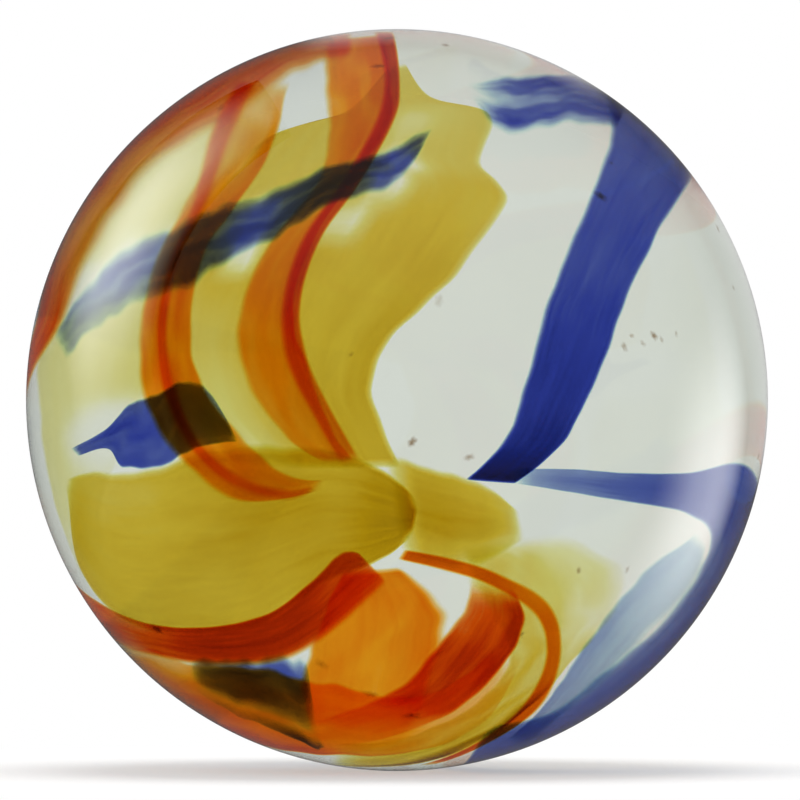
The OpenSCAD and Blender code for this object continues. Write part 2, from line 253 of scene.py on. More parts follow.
# Closed sheet of one ribbon: its edges are curves on the ball, w runs across from the first to the
# second, every point is sunk along its sight line, and the two faces part by
# thick * 4w (1 - w) * sin(pi s)^(1/2), where s is the share of the way along it
def ribbonSurface(ribbon, thick, stepsAlong=10, stepsAcross=22, crowding=0.6):
    stations = np.array(ribbon["stations"], float)
    gaps = len(stations) - 1
    position = np.linspace(0, gaps, gaps * stepsAlong + 1)
    w = np.linspace(0, 1, stepsAcross + 1)
    w = w - crowding * np.sin(2 * np.pi * w) / (2 * np.pi)  # closer together towards both edges
    first = curveThrough(onBall(stations[:, 0], stations[:, 1]), position)
    second = curveThrough(onBall(stations[:, 2], stations[:, 3]), position)
    depth = curveThrough(stations[:, 4:5], position)
    swayFirst, swaySecond = edgeSway(position, ribbon["wobble"], ribbon["phase"])
    across = (swayFirst + (1 - swayFirst + swaySecond) * w)[..., None]
    e = first[:, None] * (1 - across) + second[:, None] * across
    e /= np.linalg.norm(e, axis=-1, keepdims=True)

    way, straight = wayIn(e)
    reach = ballRadius * straight * depth
    taper = np.sqrt(np.maximum(np.sin(np.pi * position / gaps), 0))[:, None]
    half = thick / 1000 * 2 * w * (1 - w) * taper
    front = ballRadius * e + (reach - half)[..., None] * way
    rear = ballRadius * e + (reach + half)[..., None] * way
    shares = colourShares(ribbon, position, w)

    # Way along and across the ribbon in mm, for the streaks
    steps = np.linalg.norm(np.diff(front[:, stepsAcross // 2], axis=0), axis=1)
    length = np.concatenate([[0], np.cumsum(steps)]) * 1000
    width = np.linalg.norm(front[:, -1] - front[:, 0], axis=1).mean() * 1000
    uv = np.stack(np.broadcast_arrays(length[:, None], w * width), -1) + ribbon["phase"]

    middle = len(position) // 2
    turnWay = np.cross(e[middle + 1, 0] - e[middle, 0], e[middle, -1] - e[middle, 0]) @ e[middle, 0]
    faces = sheetFaces(*shares.shape, turnWay > 0)
    inside = (slice(1, -1), slice(1, -1))
    points = np.concatenate([front.reshape(-1, 3), rear[inside].reshape(-1, 3)])
    uv = np.concatenate([uv.reshape(-1, 2), uv[inside].reshape(-1, 2)])
    return points, faces, np.concatenate([shares.ravel(), shares[inside].ravel()]), uv


# One mesh of all ribbons of a colour, with the colour share of every point
def ribbonMesh(name, glass):
    parts = [ribbonSurface(ribbon, glass["thick"]) for ribbon in glass["ribbons"].values()]
    starts = np.cumsum([0] + [len(part[0]) for part in parts[:-1]])
    points, shares, uv = (np.concatenate([part[k] for part in parts]) for k in (0, 2, 3))
    faces = np.concatenate([part[1] + start for part, start in zip(parts, starts)])
    mesh = bpy.data.meshes.new(name)
    mesh.vertices.add(len(points))
    mesh.vertices.foreach_set("co", points.astype(np.float32).ravel())
    mesh.loops.add(faces.size)
    mesh.loops.foreach_set("vertex_index", faces.astype(np.int32).ravel())
    mesh.polygons.add(len(faces))
    mesh.polygons.foreach_set("loop_start", np.arange(0, faces.size, 4, dtype=np.int32))
    mesh.polygons.foreach_set("use_smooth", np.ones(len(faces), bool))
    mesh.update(calc_edges=True)
    shareLayer = mesh.attributes.new("colourShare", "FLOAT", "POINT")
    shareLayer.data.foreach_set("value", shares.astype(np.float32))
    layer = mesh.uv_layers.new(name="along")
    layer.data.foreach_set("uv", uv[faces.ravel()].astype(np.float32).ravel())
    mesh.validate()
    return mesh


# What a colour's dictionary holds, beside its ribbons:
# thick: mm along the middle of each ribbon; tints: colour of the glass by its colour share
# streaks: fineness and strength of each layer of streaks; stretch: their fineness lengthways as a
#     share of that across; clouds: fineness and strength of the soft clouds

# What a ribbon's dictionary holds:
# stations: u and v of one edge and of the other, as seen from the front in shares of the radius
#     (further than 1 from the middle is on the far side), then the depth along the sight line as a
#     share of the way to where that passes the ball's middle
# wobble: how far its edges sway; phase: shifts its sway and streaks
# colour: colour share at even steps along it and across it
# soft: share of its width over which each side fades; endSoft: stations over which each end fades
# frayed: strength and number of the stripes with less colour
# thin: spots with less colour: place and reach along, place and reach across, and what is left

# Blue glass: bands over the top and round the right, a thread behind the orange, patches at the left
blueGlass = dict(
    thick=0.34,
    tints=[(0, (1, 1, 1)), (0.08, (0.8, 0.92, 0.92)), (0.2, (0.5, 0.66, 0.8)),
           (0.38, (0.31, 0.41, 0.68)), (0.65, (0.11, 0.155, 0.5)), (1, (0.036, 0.058, 0.43)),
           (1.4, (0.014, 0.024, 0.22)), (2, (0.014, 0.012, 0.05))],
    streaks=[(2.0, 0.07), (6.0, 0.06)], stretch=0.1, clouds=(350, 0.08),
    ribbons=dict(
        band=dict(
            phase=0.4, wobble=0.01, soft=(0.1, 0.06), endSoft=(0.4, 0.12),
            # The colour share climbs to 2 at the band's tip: deep navy of its own glass, darkened there to
            # near black as painted shade
            colour=[0.8, 0.8, 0.75, 0.7, 0.72, 0.8, 0.9, 1, 1.1, 1.3, 2],
            stations=[(-0.93, 0.83, -0.97, 1.08, 0.08), (-0.56, 1.15, -0.16, 1.48, 0.08),
                      (-0.04, 1.21, 0.54, 1.22, 0.08), (0.41, 1.01, 0.76, 0.76, 0.08),
                      (0.56, 0.78, 0.79, 0.63, 0.08), (0.55, 0.66, 0.73, 0.5, 0.08),
                      (0.47, 0.45, 0.64, 0.34, 0.08), (0.39, 0.26, 0.58, 0.19, 0.08),
                      (0.33, 0.03, 0.51, 0.02, 0.09), (0.28, -0.1, 0.44, -0.11, 0.11),
                      (0.18, -0.21, 0.31, -0.22, 0.15)]),
        wisp=dict(
            phase=2.1, wobble=0.025, soft=(0.2, 0.2), endSoft=(1.6, 0.05), frayed=(0.3, 6),
            colour=[(0.2, 0.6, 0.1, 0.1, 0.1), (0.4, 1, 0.3, 1.3, 0.5), (0.7, 1.1, 0.5, 1, 0.5),
                    (0.9, 1, 0.8, 0.9, 0.6), (1, 1, 1, 1, 0.9)],
            stations=[(0.18, 0.85, 0.19, 0.81, 0.76), (0.28, 0.87, 0.27, 0.71, 0.77),
                      (0.39, 0.88, 0.37, 0.72, 0.78), (0.51, 0.86, 0.49, 0.73, 0.79),
                      (0.61, 0.81, 0.59, 0.73, 0.8)]),
        thread=dict(
            phase=3.8, wobble=0.04, soft=(0.22, 0.18), endSoft=(0.4, 0.5), frayed=(0.3, 3),
            colour=[(0.2, 0.8, 0.8, 0.2), (0.4, 1.1, 1, 0.2), (0.7, 1.2, 1.2, 0.7), (0.7, 1, 1.1, 0.8),
                    (0.6, 0.9, 1, 0.5), (0.4, 0.65, 0.6, 0.35), (0.3, 0.5, 0.45, 0.35),
                    (0.35, 0.5, 0.45, 0.4)],
            stations=[(0.1, 0.73, 0.06, 0.65, 0.54), (-0.01, 0.68, 0, 0.57, 0.54),
                      (-0.14, 0.64, -0.12, 0.53, 0.54), (-0.27, 0.59, -0.25, 0.47, 0.54),
                      (-0.41, 0.54, -0.37, 0.4, 0.54), (-0.53, 0.5, -0.51, 0.32, 0.54),
                      (-0.64, 0.46, -0.64, 0.26, 0.54), (-0.76, 0.38, -0.75, 0.22, 0.54),
                      (-0.85, 0.29, -0.82, 0.17, 0.54), (-0.92, 0.17, -0.88, 0.1, 0.54)]),
        patch=dict(
            phase=5.5, wobble=0.012, soft=(0.08, 0.05), endSoft=(0.3, 0.4), frayed=(0.15, 2),
            colour=[(0.7, 0.8, 0.8), (0.9, 1, 0.9), (0.9, 1, 0.95), (0.95, 0.85, 0.8), (0.7, 0.9, 0.6),
                    (0.5, 0.8, 0.5)],
            stations=[(-0.87, -0.13, -0.85, -0.15, 0.48), (-0.78, -0.08, -0.77, -0.13, 0.49),
                      (-0.71, -0.01, -0.73, -0.18, 0.5), (-0.64, 0.02, -0.64, -0.18, 0.5),
                      (-0.57, 0.05, -0.57, -0.15, 0.5), (-0.5, 0.03, -0.5, -0.12, 0.5),
                      (-0.43, -0.09, -0.42, -0.11, 0.5)]),
        wrap=dict(
            phase=7.2, wobble=0.008, soft=(0.06, 0.09), endSoft=(0.6, 0.4),
            colour=[(0.3, 0.3, 0.3), (0.5, 0.6, 0.5), (0.65, 0.75, 0.65), (0.65, 0.65, 0.6),
                    (0.9, 0.75, 0.55), (1, 0.85, 0.55), (1, 0.85, 0.5), (1, 0.8, 0.6), (0.9, 0.8, 0.8),
                    (0.8, 0.8, 0.8), (0.8, 0.8, 0.8)],
            stations=[(0.29, -0.18, 0.3, -0.22, 0.26), (0.44, -0.18, 0.43, -0.24, 0.22),
                      (0.6, -0.19, 0.6, -0.27, 0.17), (0.78, -0.19, 0.76, -0.3, 0.12),
                      (0.93, -0.17, 0.83, -0.36, 0.09), (0.97, -0.3, 0.8, -0.46, 0.08),
                      (0.91, -0.48, 0.69, -0.6, 0.08), (0.79, -0.65, 0.55, -0.72, 0.08),
                      (0.6, -0.82, 0.4, -0.83, 0.08), (0.37, -0.93, 0.23, -0.89, 0.08),
                      (0.11, -1.07, 0.11, -1, 0.08), (-0.21, -1.22, -0.26, -1.04, 0.08),
                      (-0.68, -1.18, -0.65, -0.97, 0.08)]),
        fold=dict(
            phase=8.9, wobble=0.02, soft=(0.1, 0.25), endSoft=(0.4, 0.5),
            colour=[(0.22, 0.24, 0.15), (0.3, 0.25, 0.15), (0.4, 0.25, 0.16), (0.45, 0.33, 0.25),
                    (0.6, 0.5, 0.4)],
            stations=[(0.8, -0.35, 0.83, -0.39, 0.4), (0.66, -0.45, 0.8, -0.5, 0.4),
                      (0.55, -0.57, 0.68, -0.63, 0.4), (0.46, -0.71, 0.56, -0.75, 0.4),
                      (0.39, -0.81, 0.44, -0.85, 0.4), (0.29, -0.91, 0.32, -0.94, 0.42)]),
        deep=dict(
            phase=10.6, wobble=0.03, soft=(0.12, 0.05), endSoft=(0.5, 1.2), frayed=(0.2, 3),
            colour=[(0.4, 0.6, 0.5, 0.1, 0.05), (0.5, 0.9, 0.8, 0.1, 0.2), (0.5, 0.9, 0.7, 0.15, 1.1),
                    (0.4, 0.7, 0.5, 0.3, 1.3)],
            thin=[(1, 0.3, 0.75, 0.35, 0)],
            stations=[(-0.56, -0.7, -0.55, -0.78, 1), (-0.46, -0.69, -0.45, -0.84, 1),
                      (-0.35, -0.69, -0.32, -0.9, 1), (-0.26, -0.69, -0.21, -0.94, 1),
                      (-0.24, -0.69, -0.19, -0.94, 1)])),
)
addPiece(ribbonMesh("blueSwirl", blueGlass), colouredGlass("blueGlass", blueGlass),
         "blue_swirl")
print("blue ribbons built")

# Yellow glass: the large sheet, the lobe close to the surface and paler sheets behind
yellowGlass = dict(
    thick=0.3,
    tints=[(0, (1, 1, 1)), (0.25, (0.905, 0.865, 0.465)), (0.5, (0.82, 0.73, 0.2)),
           (1, (0.76, 0.54, 0.045)), (1.4, (0.58, 0.34, 0.006)), (2, (0.22, 0.07, 0.004))],
    streaks=[(1.2, 0.04), (4.0, 0.05)], stretch=0.1, clouds=(300, 0.08),
    ribbons=dict(
        sheet=dict(
            phase=0.4, wobble=0.006, soft=(0.08, 0.03), endSoft=(0.3, 0.2),
            colour=[(0.8, 0.8, 0.8, 0.7, 0.7), (0.4, 0.6, 0.8, 0.8, 0.8), (0.9, 0.9, 0.7, 0.6, 0.75),
                    (0.85, 0.9, 0.85, 0.8, 0.8), (0.8, 0.9, 1, 1, 1), (0.9, 1, 1.1, 1.1, 1.1),
                    (0.8, 0.8, 1, 1.1, 1.2), (0.4, 0.5, 0.9, 1.15, 1.25), (0.25, 0.3, 0.9, 1.2, 1.2)],
            thin=[(0.3, 0.05, 0.66, 0.1, 0.6), (0.41, 0.065, 0.66, 0.1, 0.12),
                  (0.49, 0.05, 0.61, 0.08, 0.1), (0.56, 0.035, 0.54, 0.06, 0.1),
                  (0.555, 0.05, 0.25, 0.1, 0.2), (0.605, 0.035, 0.27, 0.06, 0.12)],
            stations=[(-0.02, 0.89, 0.02, 0.9, 0.62), (-0.14, 0.77, 0.09, 0.81, 0.62),
                      (-0.35, 0.7, 0.25, 0.76, 0.62), (-0.44, 0.61, 0.23, 0.63, 0.62),
                      (-0.51, 0.52, 0.29, 0.53, 0.62), (-0.61, 0.32, 0.16, 0.33, 0.62),
                      (-0.64, 0.15, -0.01, 0.17, 0.62), (-0.58, -0.03, -0.06, 0.01, 0.62),
                      (-0.42, -0.18, 0.01, -0.18, 0.62)]),
        lobe=dict(
            phase=2.1, wobble=0.008, soft=(0.06, 0.05), endSoft=(0.6, 0.2),
            # The colour share rises towards the lobe's right end: the dark brown end there is painted shade
            colour=[(0.5, 0.6, 0.7), (0.9, 1, 0.95), (1, 1.1, 1), (1.1, 1.2, 1.1), (1.15, 1.3, 1.15),
                    (1.2, 1.35, 1.25), (1.4, 1.6, 1.5), (1.7, 1.7, 1.6)],
            thin=[(0, 0.06, 0, 0.3, 0), (0, 0.06, 1, 0.3, 0), (1, 0.06, 0, 0.25, 0),
                  (1, 0.06, 1, 0.25, 0)],
            stations=[(-0.89, -0.21, -0.87, -0.28, 0.1), (-0.81, -0.19, -0.84, -0.47, 0.1),
                      (-0.67, -0.18, -0.71, -0.6, 0.1), (-0.5, -0.13, -0.51, -0.62, 0.1),
                      (-0.34, -0.11, -0.35, -0.59, 0.1), (-0.17, -0.13, -0.18, -0.48, 0.1),
                      (-0.02, -0.19, -0.04, -0.42, 0.1), (0.06, -0.27, 0.04, -0.36, 0.1)]),
        tail=dict(
            phase=3.8, wobble=0.012, soft=(0.1, 0.12), endSoft=(0.8, 0.4),
            colour=[(1.3, 1.4, 1.2), (1.2, 1.4, 0.9), (1, 1.3, 0.6), (0.9, 0.8, 0.4)],
            stations=[(-0.04, -0.14, 0.01, -0.41, 0.34), (0.08, -0.17, 0.11, -0.44, 0.34),
                      (0.21, -0.21, 0.22, -0.44, 0.34), (0.32, -0.29, 0.34, -0.37, 0.34)]),
        crescent=dict(
            phase=5.5, wobble=0.02, soft=(0.1, 0.06), endSoft=(0.6, 0.4), frayed=(0.3, 3),
            colour=[(0.9, 0.8, 0.5, 0.1), (0.9, 0.7, 0.4, 0.12), (0.6, 0.8, 0.3, 0.12),
                    (0.8, 1, 0.6, 0.6), (0.9, 1, 1.2, 1.9), (0.6, 0.8, 1.3, 2), (0.5, 0.5, 0.9, 1.4)],
            stations=[(0.16, -0.38, 0.44, -0.35, 0.72), (0.19, -0.5, 0.6, -0.44, 0.72),
                      (0.27, -0.6, 0.58, -0.58, 0.72), (0.29, -0.7, 0.46, -0.71, 0.72),
                      (0.21, -0.81, 0.34, -0.84, 0.72), (0.04, -0.89, 0.12, -0.96, 0.72),
                      (-0.18, -0.92, -0.18, -0.98, 0.72)]),
        flank=dict(
            phase=7.2, wobble=0.015, soft=(0.1, 0.08), endSoft=(0.5, 0.3),
            colour=[(0.35, 0.4, 0.4), (0.4, 0.38, 0.4), (0.4, 0.4, 0.45), (0.35, 0.35, 0.5),
                    (0.32, 0.37, 0.5), (0.3, 0.37, 0.4), (0.25, 0.25, 0.1), (0.1, 0.05, 0)],
            thin=[(0.33, 0.07, 0.95, 0.2, 0.3), (0.38, 0.07, 0.65, 0.2, 0.3),
                  (0.43, 0.06, 0.35, 0.25, 0.35), (0.48, 0.06, 0.15, 0.15, 0.35),
                  (0.73, 0.08, 0.8, 0.45, 0.1)],
            stations=[(-0.43, 0.79, -0.28, 0.72, 0.76), (-0.65, 0.67, -0.43, 0.61, 0.76),
                      (-0.81, 0.5, -0.55, 0.45, 0.76), (-0.92, 0.3, -0.61, 0.27, 0.76),
                      (-0.97, 0.1, -0.62, 0.1, 0.76), (-0.96, -0.08, -0.69, -0.06, 0.76),
                      (-0.92, -0.28, -0.78, -0.27, 0.76), (-0.84, -0.49, -0.77, -0.46, 0.76)]),
        far=dict(
            phase=8.9, wobble=0.03, soft=(0.08, 0.08), endSoft=(0.8, 0.6),
            colour=[(0.7, 0.9, 0.8), (0.9, 1, 1.1), (1.1, 0.9, 1), (1, 1, 0.8)],
            stations=[(1.03, -0.07, 0.99, -0.36, 0.24), (1.13, -0.2, 0.91, -0.62, 0.24),
                      (1.2, -0.58, 0.68, -0.94, 0.24), (0.81, -1.21, 0.33, -1.15, 0.24),
                      (0, -1.48, -0.09, -1.22, 0.24), (-0.81, -1.21, -0.5, -1.12, 0.24),
                      (-1.15, -0.67, -0.81, -0.84, 0.24), (-1.1, -0.27, -0.97, -0.52, 0.24)])),
)
addPiece(ribbonMesh("yellowSwirl", yellowGlass), colouredGlass("yellowGlass", yellowGlass),
         "yellow_swirl")
print("yellow sheets built")

# Orange glass: the sash, the hooked cord and the lower swirl
orangeGlass = dict(
    thick=0.28,
    tints=[(0, (1, 1, 1)), (0.25, (0.97, 0.84, 0.55)), (0.5, (0.96, 0.66, 0.24)),
           (1, (0.97, 0.36, 0.012)), (1.4, (0.86, 0.16, 0.002)), (2, (0.6, 0.05, 0.001))],
    streaks=[(2.0, 0.04), (6.0, 0.03)], stretch=0.1, clouds=(300, 0.12),
    ribbons=dict(
        sash=dict(
            phase=0.4, wobble=0.015, soft=(0.14, 0.05), endSoft=(0.2, 0.4), frayed=(0.12, 2),
            colour=[(1.1, 1.3, 1.5), (1.1, 1.4, 1.5), (1.1, 1.4, 1.4), (0.9, 1.05, 1.2), (1, 1.05, 1.2),
                    (1.05, 1.05, 1.1), (0.85, 0.9, 0.95), (0.7, 0.8, 0.8)],
            stations=[(-0.2, 0.96, -0.04, 0.98, 0.44), (-0.2, 0.86, -0.01, 0.87, 0.44),
                      (-0.19, 0.73, -0.02, 0.73, 0.44), (-0.22, 0.57, -0.11, 0.59, 0.44),
                      (-0.36, 0.39, -0.23, 0.4, 0.44), (-0.43, 0.21, -0.27, 0.22, 0.44),
                      (-0.4, 0.04, -0.22, 0.05, 0.44), (-0.3, -0.1, -0.15, -0.11, 0.44),
                      (-0.19, -0.17, -0.11, -0.16, 0.44)]),
        cord=dict(
            phase=2.1, wobble=0.015, soft=(0.14, 0.08), endSoft=(0.4, 0.4), frayed=(0.15, 2),
            colour=[(0.35, 0.4, 0.6), (0.5, 0.8, 1.1), (1, 1.3, 1.3), (1.1, 1.4, 1.25),
                    (1.25, 1.45, 1.15), (1.25, 1.3, 1.05), (1.1, 1.1, 0.9), (0.9, 0.9, 0.8)],
            stations=[(-0.43, 0.85, -0.28, 0.85, 0.26), (-0.47, 0.7, -0.32, 0.68, 0.26),
                      (-0.56, 0.54, -0.41, 0.53, 0.26), (-0.65, 0.35, -0.51, 0.37, 0.26),
                      (-0.69, 0.16, -0.54, 0.17, 0.26), (-0.67, -0.01, -0.49, 0.01, 0.26),
                      (-0.57, -0.17, -0.38, -0.12, 0.26), (-0.42, -0.27, -0.27, -0.2, 0.26),
                      (-0.2, -0.24, -0.19, -0.21, 0.26)]),
        lobe=dict(
            phase=3.8, wobble=0.015, soft=(0.05, 0.12), endSoft=(0.2, 1.2), frayed=(0.1, 2),
            colour=[(1.3, 1.3, 1.2), (1.05, 1.15, 1.3), (1.2, 1.1, 1.3), (1, 1, 1.1), (0.4, 0.5, 0.6)],
            stations=[(-0.14, -0.45, 0.01, -0.44, 0.4), (-0.21, -0.59, 0.12, -0.53, 0.4),
                      (-0.25, -0.71, 0.13, -0.65, 0.4), (-0.25, -0.83, 0.09, -0.79, 0.4),
                      (-0.21, -0.93, 0, -0.93, 0.4)]),
        rind=dict(
            phase=5.5, wobble=0.006, soft=(0.25, 0.25), endSoft=(0.2, 0.5),
            colour=[1.6, 1.5, 1.35, 1.3, 1.7, 1.9],
            stations=[(0, -0.42, 0.02, -0.39, 0.18), (0.12, -0.45, 0.13, -0.41, 0.18),
                      (0.24, -0.49, 0.26, -0.45, 0.18), (0.36, -0.57, 0.4, -0.53, 0.18),
                      (0.39, -0.68, 0.44, -0.66, 0.18), (0.33, -0.81, 0.39, -0.81, 0.18),
                      (0.2, -0.92, 0.24, -0.92, 0.18), (0.05, -0.98, 0.09, -0.98, 0.18)]),
        foot=dict(
            phase=7.2, wobble=0.02, soft=(0.05, 0.04), endSoft=(0.3, 0.5), frayed=(0.12, 3),
            colour=[(0.9, 0.9, 0.9), (0.5, 1.2, 1.3), (0.7, 1.4, 1.5), (1.2, 1.5, 1.9), (1.2, 1.3, 1.8),
                    (1.1, 1.1, 0.9), (1, 0.8, 0.4), (0.7, 0.6, 0.4)],
            stations=[(-0.96, -0.64, -0.8, -0.78, 0.3), (-0.82, -0.64, -0.68, -0.76, 0.44),
                      (-0.68, -0.66, -0.68, -0.74, 0.56), (-0.54, -0.7, -0.53, -0.85, 0.56),
                      (-0.36, -0.71, -0.36, -0.93, 0.56), (-0.18, -0.75, -0.18, -0.95, 0.56),
                      (0, -0.79, 0.02, -0.95, 0.56), (0.16, -0.74, 0.22, -0.87, 0.56),
                      (0.27, -0.65, 0.34, -0.68, 0.56)]),
        far=dict(
            phase=8.9, wobble=0.03, soft=(0.2, 0.2), endSoft=(0.8, 0.8),
            colour=[0.9, 1, 1.1, 1],
            stations=[(-0.87, 0.63, -0.94, 0.48, 0.16), (-1.06, 0.61, -1.05, 0.45, 0.16),
                      (-1.34, 0.39, -1.23, 0.31, 0.16), (-1.47, -0.21, -1.32, -0.14, 0.16),
                      (-1.22, -0.76, -1.14, -0.61, 0.16), (-0.8, -0.99, -0.87, -0.81, 0.16),
                      (-0.55, -0.95, -0.68, -0.84, 0.16)])),
)
addPiece(ribbonMesh("orangeSwirl", orangeGlass), colouredGlass("orangeGlass", orangeGlass),
         "orange_swirl")
print("orange ribbons built")

# Red glass: thin lines along the orange, the rind at the upper left and the sash under the lobe
redGlass = dict(
    thick=0.26,
    tints=[(0, (1, 1, 1)), (0.2, (0.96, 0.75, 0.4)), (0.5, (0.9, 0.36, 0.06)),
           (1, (0.76, 0.085, 0.002)), (1.4, (0.55, 0.03, 0.001)), (2, (0.3, 0.01, 0.001))],
    streaks=[(2.5, 0.08), (7.0, 0.1)], stretch=0.1, clouds=(300, 0.1),
    ribbons=dict(
        line=dict(
            phase=0.4, wobble=0.006, soft=(0.35, 0.22), endSoft=(0.3, 0.4),
            colour=[1.4, 1.3, 1.15, 1.05, 0.95, 0.8, 0.65],
            stations=[(-0.07, 0.99, -0.01, 0.99, 0.34), (-0.04, 0.87, 0.01, 0.87, 0.34),
                      (-0.06, 0.75, 0, 0.75, 0.34), (-0.15, 0.58, -0.09, 0.58, 0.34),
                      (-0.26, 0.42, -0.2, 0.42, 0.34), (-0.31, 0.25, -0.25, 0.25, 0.34),
                      (-0.3, 0.1, -0.23, 0.11, 0.34), (-0.22, -0.06, -0.16, -0.04, 0.34),
                      (-0.15, -0.18, -0.09, -0.16, 0.34)]),
        core=dict(
            phase=2.1, wobble=0.012, soft=(0.4, 0.45), endSoft=(0.2, 0.4),
            colour=[(0.9, 0.8, 0.5), (1, 0.8, 0.4), (0.45, 0.45, 0.45), (0.5, 0.5, 0.5),
                    (0.6, 0.6, 0.6), (0.6, 0.6, 0.6), (0.5, 0.5, 0.5), (0.4, 0.4, 0.4),
                    (0.4, 0.4, 0.4)],
            stations=[(-0.43, 0.86, -0.36, 0.84, 0.18), (-0.5, 0.72, -0.42, 0.69, 0.18),
                      (-0.55, 0.52, -0.5, 0.5, 0.18), (-0.61, 0.36, -0.57, 0.35, 0.18),
                      (-0.64, 0.18, -0.6, 0.18, 0.18), (-0.62, 0.01, -0.57, 0.02, 0.18),
                      (-0.55, -0.13, -0.51, -0.11, 0.18), (-0.44, -0.23, -0.41, -0.19, 0.18),
                      (-0.3, -0.27, -0.29, -0.23, 0.18), (-0.21, -0.24, -0.22, -0.22, 0.18)]),
        rind=dict(
            phase=3.8, wobble=0.02, soft=(0.04, 0.25), endSoft=(0.8, 0.3), frayed=(0.1, 2),
            colour=[(1, 1, 1, 0.8, 0.6), (0.9, 1, 1, 0.9, 0.8), (0.7, 1.1, 1.1, 1, 0.8),
                    (0.95, 0.9, 0.8, 0.6, 0.75), (1.1, 1.1, 1.1, 0.65, 0.8), (1.1, 1.1, 1.1, 0.75, 0.8),
                    (1, 1, 1, 0.9, 0.9), (0.9, 0.9, 0.9, 0.85, 0.9), (0.8, 0.9, 0.9, 0.8, 0.8)],
            stations=[(-1.19, -0.25, -1.07, -0.39, 0.3), (-1.05, 0, -1, -0.07, 0.34),
                      (-0.97, 0.21, -0.9, 0.18, 0.36), (-0.91, 0.44, -0.78, 0.42, 0.36),
                      (-0.78, 0.65, -0.67, 0.58, 0.36), (-0.59, 0.81, -0.49, 0.7, 0.36),
                      (-0.4, 0.93, -0.34, 0.8, 0.36), (-0.25, 0.98, -0.23, 0.88, 0.36),
                      (-0.12, 0.99, -0.11, 0.91, 0.36)]),
        sash=dict(
            phase=5.5, wobble=0.006, soft=(0.06, 0.2), endSoft=(0.3, 0.25),
            colour=[(0.9, 0.9, 0.8), (0.8, 0.9, 0.8), (0.8, 0.95, 0.7), (1.6, 1.7, 1.1),
                    (1.7, 1.7, 1.1), (1.2, 1.2, 0.9), (0.9, 0.8, 0.6)],
            stations=[(-1, -0.49, -0.87, -0.63, 0.2), (-0.93, -0.43, -0.84, -0.57, 0.2),
                      (-0.83, -0.52, -0.8, -0.62, 0.2), (-0.67, -0.59, -0.68, -0.68, 0.2),
                      (-0.5, -0.6, -0.5, -0.71, 0.2), (-0.34, -0.56, -0.32, -0.7, 0.2),
                      (-0.22, -0.47, -0.18, -0.63, 0.2), (-0.15, -0.4, -0.08, -0.54, 0.2),
                      (-0.1, -0.4, -0.02, -0.48, 0.2)]),
        sweep=dict(
            phase=7.2, wobble=0.012, soft=(0.1, 0.08), endSoft=(0.8, 0.8), frayed=(0.12, 2),
            colour=[(0.5, 0.6, 0.9), (0.8, 1.1, 1.5), (1.3, 1.4, 1.5), (1.1, 1.2, 1), (0.5, 0.5, 0.4),
                    (0.2, 0.2, 0.1)],
            stations=[(0.19, -0.47, 0.31, -0.49, 0.3), (0.17, -0.56, 0.34, -0.58, 0.3),
                      (0.09, -0.66, 0.29, -0.7, 0.3), (0, -0.76, 0.18, -0.81, 0.3),
                      (-0.13, -0.82, 0.02, -0.89, 0.3), (-0.27, -0.86, -0.21, -0.93, 0.3)]),
        far=dict(
            phase=8.9, wobble=0.05, soft=(0.3, 0.3), endSoft=(1.2, 1.2),
            colour=[0.3, 0.5, 0.6, 0.5],
            stations=[(1.01, 0.37, 1.09, 0.23, 0.12), (1.03, 0.6, 1.19, 0.34, 0.12),
                      (1.16, 0.73, 1.34, 0.24, 0.12), (1.47, 0.21, 1.35, -0.14, 0.12),
                      (1.34, -0.6, 1.23, -0.5, 0.12), (0.92, -0.96, 0.98, -0.77, 0.12)])),
)
addPiece(ribbonMesh("redSwirl", redGlass), colouredGlass("redGlass", redGlass),
         "red_swirl")
print("red streaks built")

# The clear ball, faintly rippled and hazy. Its grey-green tint is the glass's own faint tint together with
# painted shade: darkened for the dimmer light seen through the ball
ball = dict(tint=(0.655, 0.697, 0.635), turns=256, rings=128, ripple=0.02, rippleScale=180.0,
            rippleDepth=0.0005, hazeScale=420.0, hazeSpan=(0.35, 0.65), hazeShades=(0.98, 1.02))


# Sphere by longitude and latitude: (sin b cos a, sin b sin a, cos b) * radius, one point at each pole
def ballMesh(name, turns, rings):
    around = np.linspace(0, 2 * np.pi, turns, endpoint=False)
    down = np.linspace(0, np.pi, rings + 1)[1:-1, None]
    body = np.stack(np.broadcast_arrays(np.sin(down) * np.cos(around), np.sin(down) * np.sin(around),
                                        np.cos(down)), -1)
    points = np.concatenate([[[0, 0, 1]], body.reshape(-1, 3), [[0, 0, -1]]]) * ballRadius
    ring = 1 + np.arange((rings - 1) * turns).reshape(rings - 1, turns)
    nextRing = np.roll(ring, -1, axis=1)
    quads = np.stack([ring[:-1], ring[1:], nextRing[1:], nextRing[:-1]], -1).reshape(-1, 4)
    top = np.stack([np.zeros(turns, int), ring[0], nextRing[0]], -1)
    foot = np.stack([ring[-1], np.full(turns, len(points) - 1), nextRing[-1]], -1)
    mesh = bpy.data.meshes.new(name)
    mesh.from_pydata(points.tolist(), [], quads.tolist() + top.tolist() + foot.tolist())
    mesh.polygons.foreach_set("use_smooth", np.ones(len(mesh.polygons), bool))
    mesh.update()
    return mesh


